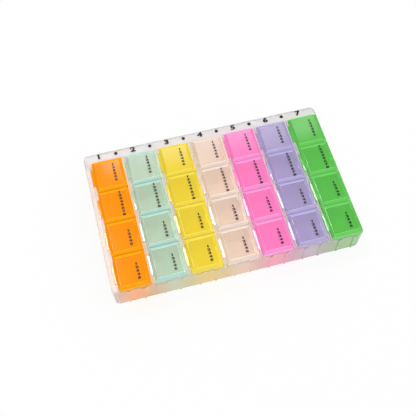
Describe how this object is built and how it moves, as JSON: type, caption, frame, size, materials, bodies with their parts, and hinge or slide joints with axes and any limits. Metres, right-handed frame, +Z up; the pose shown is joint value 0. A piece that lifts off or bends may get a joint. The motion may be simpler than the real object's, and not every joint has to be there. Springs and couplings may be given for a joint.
{
  "type": "weekly pill organizer",
  "caption": "Flat tray of square pill cells under separate hinged translucent lids, one colour for each day column.",
  "frame": {"origin": "centre of the flat underside", "axes": "+X along the seven day columns from the first day, +Y towards the header strip, +Z up"},
  "size_m": [0.214, 0.134, 0.0275],
  "materials": {
    "clear_tray": "clear frosted polypropylene, smooth on the deck",
    "orange_lid": "tinted translucent polypropylene, satin",
    "aqua_lid": "tinted translucent polypropylene, satin",
    "yellow_lid": "tinted translucent polypropylene, satin",
    "clear_lid": "tinted translucent polypropylene, satin",
    "pink_lid": "tinted translucent polypropylene, satin",
    "lavender_lid": "tinted translucent polypropylene, satin",
    "green_lid": "tinted translucent polypropylene, satin"
  },
  "bodies": {
    "tray": {"tray": "clear_tray"},
    "lid_day1_dose1": {"lid_day1_dose1": "orange_lid"},
    "lid_day1_dose2": {"lid_day1_dose2": "orange_lid"},
    "lid_day1_dose3": {"lid_day1_dose3": "orange_lid"},
    "lid_day1_dose4": {"lid_day1_dose4": "orange_lid"},
    "lid_day2_dose1": {"lid_day2_dose1": "aqua_lid"},
    "lid_day2_dose2": {"lid_day2_dose2": "aqua_lid"},
    "lid_day2_dose3": {"lid_day2_dose3": "aqua_lid"},
    "lid_day2_dose4": {"lid_day2_dose4": "aqua_lid"},
    "lid_day3_dose1": {"lid_day3_dose1": "yellow_lid"},
    "lid_day3_dose2": {"lid_day3_dose2": "yellow_lid"},
    "lid_day3_dose3": {"lid_day3_dose3": "yellow_lid"},
    "lid_day3_dose4": {"lid_day3_dose4": "yellow_lid"},
    "lid_day4_dose1": {"lid_day4_dose1": "clear_lid"},
    "lid_day4_dose2": {"lid_day4_dose2": "clear_lid"},
    "lid_day4_dose3": {"lid_day4_dose3": "clear_lid"},
    "lid_day4_dose4": {"lid_day4_dose4": "clear_lid"},
    "lid_day5_dose1": {"lid_day5_dose1": "pink_lid"},
    "lid_day5_dose2": {"lid_day5_dose2": "pink_lid"},
    "lid_day5_dose3": {"lid_day5_dose3": "pink_lid"},
    "lid_day5_dose4": {"lid_day5_dose4": "pink_lid"},
    "lid_day6_dose1": {"lid_day6_dose1": "lavender_lid"},
    "lid_day6_dose2": {"lid_day6_dose2": "lavender_lid"},
    "lid_day6_dose3": {"lid_day6_dose3": "lavender_lid"},
    "lid_day6_dose4": {"lid_day6_dose4": "lavender_lid"},
    "lid_day7_dose1": {"lid_day7_dose1": "green_lid"},
    "lid_day7_dose2": {"lid_day7_dose2": "green_lid"},
    "lid_day7_dose3": {"lid_day7_dose3": "green_lid"},
    "lid_day7_dose4": {"lid_day7_dose4": "green_lid"}
  },
  "joints": [
    {"name": "hinge_day1_dose1", "type": "hinge", "parent": "tray", "child": "lid_day1_dose1", "pos_m": [-0.102, 0.0414, 0.02515], "axis": [0, -1, 0], "range_deg": [0, 105]},
    {"name": "hinge_day1_dose2", "type": "hinge", "parent": "tray", "child": "lid_day1_dose2", "pos_m": [-0.102, 0.0107, 0.02515], "axis": [0, -1, 0], "range_deg": [0, 105]},
    {"name": "hinge_day1_dose3", "type": "hinge", "parent": "tray", "child": "lid_day1_dose3", "pos_m": [-0.102, -0.02, 0.02515], "axis": [0, -1, 0], "range_deg": [0, 105]},
    {"name": "hinge_day1_dose4", "type": "hinge", "parent": "tray", "child": "lid_day1_dose4", "pos_m": [-0.102, -0.0507, 0.02515], "axis": [0, -1, 0], "range_deg": [0, 105]},
    {"name": "hinge_day2_dose1", "type": "hinge", "parent": "tray", "child": "lid_day2_dose1", "pos_m": [-0.072, 0.0414, 0.02515], "axis": [0, -1, 0], "range_deg": [0, 105]},
    {"name": "hinge_day2_dose2", "type": "hinge", "parent": "tray", "child": "lid_day2_dose2", "pos_m": [-0.072, 0.0107, 0.02515], "axis": [0, -1, 0], "range_deg": [0, 105]},
    {"name": "hinge_day2_dose3", "type": "hinge", "parent": "tray", "child": "lid_day2_dose3", "pos_m": [-0.072, -0.02, 0.02515], "axis": [0, -1, 0], "range_deg": [0, 105]},
    {"name": "hinge_day2_dose4", "type": "hinge", "parent": "tray", "child": "lid_day2_dose4", "pos_m": [-0.072, -0.0507, 0.02515], "axis": [0, -1, 0], "range_deg": [0, 105]},
    {"name": "hinge_day3_dose1", "type": "hinge", "parent": "tray", "child": "lid_day3_dose1", "pos_m": [-0.042, 0.0414, 0.02515], "axis": [0, -1, 0], "range_deg": [0, 105]},
    {"name": "hinge_day3_dose2", "type": "hinge", "parent": "tray", "child": "lid_day3_dose2", "pos_m": [-0.042, 0.0107, 0.02515], "axis": [0, -1, 0], "range_deg": [0, 105]},
    {"name": "hinge_day3_dose3", "type": "hinge", "parent": "tray", "child": "lid_day3_dose3", "pos_m": [-0.042, -0.02, 0.02515], "axis": [0, -1, 0], "range_deg": [0, 105]},
    {"name": "hinge_day3_dose4", "type": "hinge", "parent": "tray", "child": "lid_day3_dose4", "pos_m": [-0.042, -0.0507, 0.02515], "axis": [0, -1, 0], "range_deg": [0, 105]},
    {"name": "hinge_day4_dose1", "type": "hinge", "parent": "tray", "child": "lid_day4_dose1", "pos_m": [-0.012, 0.0414, 0.02515], "axis": [0, -1, 0], "range_deg": [0, 105]},
    {"name": "hinge_day4_dose2", "type": "hinge", "parent": "tray", "child": "lid_day4_dose2", "pos_m": [-0.012, 0.0107, 0.02515], "axis": [0, -1, 0], "range_deg": [0, 105]},
    {"name": "hinge_day4_dose3", "type": "hinge", "parent": "tray", "child": "lid_day4_dose3", "pos_m": [-0.012, -0.02, 0.02515], "axis": [0, -1, 0], "range_deg": [0, 105]},
    {"name": "hinge_day4_dose4", "type": "hinge", "parent": "tray", "child": "lid_day4_dose4", "pos_m": [-0.012, -0.0507, 0.02515], "axis": [0, -1, 0], "range_deg": [0, 105]},
    {"name": "hinge_day5_dose1", "type": "hinge", "parent": "tray", "child": "lid_day5_dose1", "pos_m": [0.018, 0.0414, 0.02515], "axis": [0, -1, 0], "range_deg": [0, 105]},
    {"name": "hinge_day5_dose2", "type": "hinge", "parent": "tray", "child": "lid_day5_dose2", "pos_m": [0.018, 0.0107, 0.02515], "axis": [0, -1, 0], "range_deg": [0, 105]},
    {"name": "hinge_day5_dose3", "type": "hinge", "parent": "tray", "child": "lid_day5_dose3", "pos_m": [0.018, -0.02, 0.02515], "axis": [0, -1, 0], "range_deg": [0, 105]},
    {"name": "hinge_day5_dose4", "type": "hinge", "parent": "tray", "child": "lid_day5_dose4", "pos_m": [0.018, -0.0507, 0.02515], "axis": [0, -1, 0], "range_deg": [0, 105]},
    {"name": "hinge_day6_dose1", "type": "hinge", "parent": "tray", "child": "lid_day6_dose1", "pos_m": [0.048, 0.0414, 0.02515], "axis": [0, -1, 0], "range_deg": [0, 105]},
    {"name": "hinge_day6_dose2", "type": "hinge", "parent": "tray", "child": "lid_day6_dose2", "pos_m": [0.048, 0.0107, 0.02515], "axis": [0, -1, 0], "range_deg": [0, 105]},
    {"name": "hinge_day6_dose3", "type": "hinge", "parent": "tray", "child": "lid_day6_dose3", "pos_m": [0.048, -0.02, 0.02515], "axis": [0, -1, 0], "range_deg": [0, 105]},
    {"name": "hinge_day6_dose4", "type": "hinge", "parent": "tray", "child": "lid_day6_dose4", "pos_m": [0.048, -0.0507, 0.02515], "axis": [0, -1, 0], "range_deg": [0, 105]},
    {"name": "hinge_day7_dose1", "type": "hinge", "parent": "tray", "child": "lid_day7_dose1", "pos_m": [0.078, 0.0414, 0.02515], "axis": [0, -1, 0], "range_deg": [0, 105]},
    {"name": "hinge_day7_dose2", "type": "hinge", "parent": "tray", "child": "lid_day7_dose2", "pos_m": [0.078, 0.0107, 0.02515], "axis": [0, -1, 0], "range_deg": [0, 105]},
    {"name": "hinge_day7_dose3", "type": "hinge", "parent": "tray", "child": "lid_day7_dose3", "pos_m": [0.078, -0.02, 0.02515], "axis": [0, -1, 0], "range_deg": [0, 105]},
    {"name": "hinge_day7_dose4", "type": "hinge", "parent": "tray", "child": "lid_day7_dose4", "pos_m": [0.078, -0.0507, 0.02515], "axis": [0, -1, 0], "range_deg": [0, 105]}
  ]
}
